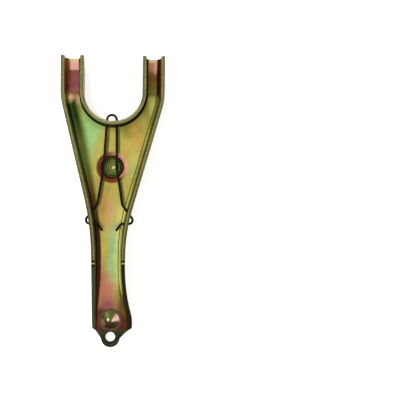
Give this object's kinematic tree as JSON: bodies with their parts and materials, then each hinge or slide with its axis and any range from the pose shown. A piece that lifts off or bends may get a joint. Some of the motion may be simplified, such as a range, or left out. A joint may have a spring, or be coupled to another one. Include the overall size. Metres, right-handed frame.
{
  "type": "clutch fork",
  "caption": "Pressed-steel clutch release fork: a tapered channel with two tines, a ball socket with a bent wire retaining clip, a push-rod cup and a lug with a hole.",
  "frame": {"origin": "centre of the pivot ball, in the socket on the open side of the channel", "axes": "+Y along the lever towards the two tines, +Z out of the channel's open side, +X to the right of somebody who looks into the open side with the tines up"},
  "size_m": [0.0849, 0.2477, 0.0262],
  "materials": {
    "passivated_zinc": "yellow passivated zinc plate, satin",
    "spring_wire": "gloss black"
  },
  "bodies": {
    "root": {"fork_pressing": "passivated_zinc", "retaining_clip": "spring_wire"}
  },
  "joints": []
}
